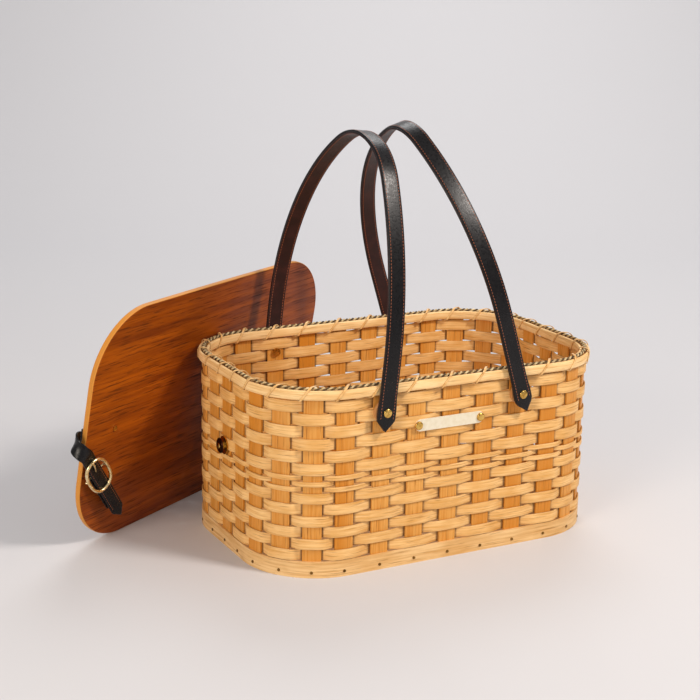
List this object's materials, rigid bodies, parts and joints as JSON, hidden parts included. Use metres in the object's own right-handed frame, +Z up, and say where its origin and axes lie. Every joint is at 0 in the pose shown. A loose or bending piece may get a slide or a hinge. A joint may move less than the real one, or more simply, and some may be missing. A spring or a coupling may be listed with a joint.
{
  "type": "picnic basket",
  "caption": "Splint-woven rectangular picnic basket with two leather carrying handles and a flat oak lid, off and leaning, with buckled end straps.",
  "frame": {"origin": "on the floor under the middle of the basket", "axes": "+Z up, +X along the basket's length, -Y out of its front wall with the nameplate"},
  "size_m": [0.5867, 0.4117, 0.4559],
  "materials": {
    "stake_reed": "flat reed, orange tan",
    "weaver_reed": "flat reed, pale straw",
    "band_reed": "flat reed, pale straw",
    "seagrass": "twisted grass cord",
    "cane": "split cane",
    "base_wood": "planed board",
    "lid_oak": "oiled oak veneer",
    "lining_leather": "burgundy brown leather",
    "tan_leather": "undyed leather",
    "black_leather": "black bridle leather",
    "dark_metal": "dark bronze",
    "plate_metal": "polished pale brass",
    "brass": "polished brass"
  },
  "bodies": {
    "basket": {"back_stakes": "stake_reed", "base_band": "band_reed", "base_board": "base_wood", "base_nails": "brass", "front_stakes": "stake_reed", "handle_discs": "tan_leather", "handle_posts": "brass", "handle_screws": "brass", "left_end_stakes": "stake_reed", "name_plate": "plate_metal", "plate_rivets": "brass", "right_end_stakes": "stake_reed", "rim_filler": "seagrass", "rim_inner_band": "band_reed", "rim_lashing": "cane", "rim_outer_band": "band_reed", "rim_row": "weaver_reed", "stud_bases": "brass", "stud_caps": "dark_metal", "weaver_row_01": "weaver_reed", "weaver_row_02": "weaver_reed", "weaver_row_03": "weaver_reed", "weaver_row_04": "weaver_reed", "weaver_row_05": "weaver_reed", "weaver_row_06": "weaver_reed", "weaver_row_07": "weaver_reed", "weaver_row_08": "weaver_reed", "weaver_row_09": "weaver_reed", "weaver_row_10": "weaver_reed", "weaver_row_11": "weaver_reed", "weaver_row_12": "weaver_reed", "weaver_row_13": "weaver_reed", "weaver_row_14": "weaver_reed", "weaver_row_15": "weaver_reed"},
    "left_handle": {"left_handle_strap": "black_leather", "left_handle_lining": "lining_leather"},
    "right_handle": {"right_handle_strap": "black_leather", "right_handle_lining": "lining_leather"},
    "lid": {"lid_board": "lid_oak", "lid_strap_tabs": "black_leather", "lid_screws": "brass"},
    "left_lid_strap": {"left_lid_strap": "black_leather", "left_strap_tab": "black_leather", "left_strap_snap": "brass", "left_buckle": "brass"},
    "right_lid_strap": {"right_lid_strap": "black_leather", "right_strap_tab": "black_leather", "right_strap_snap": "brass", "right_buckle": "brass"},
    "left_buckle_prong": {"left_buckle_prong": "brass"},
    "right_buckle_prong": {"right_buckle_prong": "brass"}
  },
  "joints": [
    {"name": "left_handle_swing", "type": "hinge", "parent": "basket", "child": "left_handle", "pos_m": [-0.08817, 0, 0.1745], "axis": [0, 1, 0], "range_deg": [-9, 5]},
    {"name": "right_handle_swing", "type": "hinge", "parent": "basket", "child": "right_handle", "pos_m": [0.07817, 0, 0.1745], "axis": [0, 1, 0], "range_deg": [-4, 120]},
    {"name": "lid_lift", "type": "slide", "parent": "basket", "child": "lid", "axis": [0.0947, -0.1557, 0.9833], "range_m": [0, 0.3]},
    {"name": "left_strap_swing", "type": "hinge", "parent": "lid", "child": "left_lid_strap", "pos_m": [-0.35636, 0.03426, 0.13412], "axis": [-0.0947, 0.1557, -0.9833], "range_deg": [0, 70]},
    {"name": "right_strap_swing", "type": "hinge", "parent": "lid", "child": "right_lid_strap", "pos_m": [0.01106, 0.25765, 0.13412], "axis": [0.0947, -0.1557, 0.9833], "range_deg": [0, 70]},
    {"name": "left_prong_lift", "type": "hinge", "parent": "left_lid_strap", "child": "left_buckle_prong", "pos_m": [-0.34178, 0.03515, 0.09142], "axis": [0.7723, 0.2611, 0.5791], "range_deg": [0, 25]},
    {"name": "right_prong_lift", "type": "hinge", "parent": "right_lid_strap", "child": "right_buckle_prong", "pos_m": [0.00355, 0.24512, 0.09142], "axis": [0.5873, 0.5655, -0.5791], "range_deg": [0, 25]}
  ]
}
